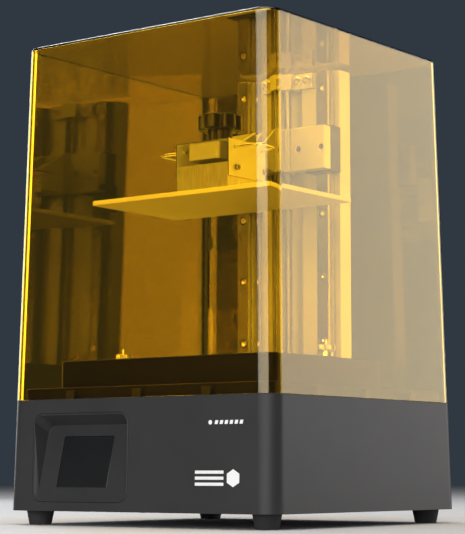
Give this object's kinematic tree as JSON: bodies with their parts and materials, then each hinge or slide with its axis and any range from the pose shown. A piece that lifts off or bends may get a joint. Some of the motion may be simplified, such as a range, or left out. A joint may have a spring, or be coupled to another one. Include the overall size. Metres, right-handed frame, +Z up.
{
  "type": "resin printer",
  "caption": "Desktop resin 3-D printer: drafted grey base with a tilted touch panel, tinted lift-off lid, film-bottomed vat and a build plate on a screw-driven carriage.",
  "frame": {"origin": "on the table, under the centre of the base", "axes": "+X to the right seen from the front, +Y from the front to the back, +Z up along the lift"},
  "size_m": [0.2988, 0.2988, 0.44],
  "materials": {
    "case_grey": "satin dark grey, fine texture",
    "black_metal": "black anodised, satin",
    "motor_black": "black lacquer",
    "foot_rubber": "matt moulded rubber",
    "screen_glass": "dark polished panel",
    "circuit_board": "solder-masked board",
    "black_plastic": "moulded, fine grain",
    "clear_plastic": "clear and smooth",
    "bare_aluminium": "brushed",
    "dark_metal": "dark satin metal",
    "polished_steel": "ground and polished",
    "nut_brass": "turned",
    "tinted_lid": "transparent amber, polished"
  },
  "bodies": {
    "base": {"base_shell": "case_grey", "bottom_plate": "black_metal", "top_deck": "black_metal", "foot_front_left": "foot_rubber", "foot_front_right": "foot_rubber", "foot_back_left": "foot_rubber", "foot_back_right": "foot_rubber", "screen_bezel": "case_grey", "touch_screen": "screen_glass", "touch_board": "circuit_board", "lcd_panel": "screen_glass", "light_hood": "black_plastic", "lens_array": "clear_plastic", "led_board": "circuit_board", "heat_sink": "bare_aluminium", "light_fan_frame": "black_plastic", "main_board": "circuit_board", "power_supply": "dark_metal", "power_inlet": "black_plastic", "switch_housing": "black_plastic", "usb_port": "polished_steel", "rear_fan_frame": "black_plastic", "motor_mount": "dark_metal", "stepper_motor": "motor_black", "column": "bare_aluminium", "rail_left": "polished_steel", "rail_right": "polished_steel", "top_bearing_block": "bare_aluminium", "screw_bearing": "polished_steel", "limit_sensor": "black_plastic"},
    "drive_screw": {"lead_screw": "polished_steel", "shaft_coupling": "bare_aluminium", "motor_shaft": "polished_steel"},
    "carriage": {"carriage_plate": "bare_aluminium", "slider_left": "dark_metal", "slider_right": "dark_metal", "nut_block": "bare_aluminium", "screw_nut": "nut_brass", "sensor_flag": "black_metal", "arm": "bare_aluminium"},
    "plate_unit": {"build_plate": "bare_aluminium", "joint_block": "bare_aluminium", "yoke": "bare_aluminium", "level_screw_front_left": "polished_steel", "level_screw_front_right": "polished_steel", "level_screw_back_left": "polished_steel", "level_screw_back_right": "polished_steel", "wire_grip_left": "polished_steel", "wire_grip_right": "polished_steel"},
    "knob": {"clamp_knob": "black_plastic"},
    "vat": {"vat_body": "black_metal", "vat_film": "clear_plastic", "film_frame": "polished_steel"},
    "thumb_left": {"thumb_screw_left": "polished_steel"},
    "thumb_right": {"thumb_screw_right": "polished_steel"},
    "lid": {"lid": "tinted_lid"},
    "rocker": {"switch_rocker": "black_plastic"},
    "light_fan": {"light_fan_rotor": "black_plastic"},
    "rear_fan": {"rear_fan_rotor": "black_plastic"}
  },
  "joints": [
    {"name": "lid_lift", "type": "slide", "parent": "base", "child": "lid", "axis": [0, 0, 1], "range_m": [0, 0.34]},
    {"name": "carriage_slide", "type": "slide", "parent": "base", "child": "carriage", "axis": [0, 0, 1], "range_m": [-0.17, 0.05]},
    {"name": "screw_turn", "type": "hinge", "parent": "base", "child": "drive_screw", "pos_m": [0, 0.0845, 0.3], "axis": [0, 0, 1], "continuous": true},
    {"name": "plate_slide", "type": "slide", "parent": "carriage", "child": "plate_unit", "axis": [0, -1, 0], "range_m": [0, 0.05]},
    {"name": "knob_turn", "type": "hinge", "parent": "plate_unit", "child": "knob", "pos_m": [0, -0.0236, 0.37], "axis": [0, 0, 1], "continuous": true},
    {"name": "vat_lift", "type": "slide", "parent": "base", "child": "vat", "axis": [0, 0, 1], "range_m": [0, 0.06]},
    {"name": "thumb_left_turn", "type": "hinge", "parent": "vat", "child": "thumb_left", "pos_m": [-0.116, -0.0236, 0.15], "axis": [0, 0, 1], "continuous": true},
    {"name": "thumb_right_turn", "type": "hinge", "parent": "vat", "child": "thumb_right", "pos_m": [0.116, -0.0236, 0.15], "axis": [0, 0, 1], "continuous": true},
    {"name": "rocker_tilt", "type": "hinge", "parent": "base", "child": "rocker", "pos_m": [0.07, 0.145, 0.042], "axis": [0, 0, 1], "range_deg": [-18, 0]},
    {"name": "light_fan_spin", "type": "hinge", "parent": "base", "child": "light_fan", "pos_m": [0, -0.0236, 0.03], "axis": [0, 0, 1], "continuous": true},
    {"name": "rear_fan_spin", "type": "hinge", "parent": "base", "child": "rear_fan", "pos_m": [-0.078, 0.13, 0.062], "axis": [0, 1, 0], "continuous": true}
  ],
  "couplings": [
    {"joint": "screw_turn", "follows": "carriage_slide", "rad_per_m": -1570.8}
  ]
}
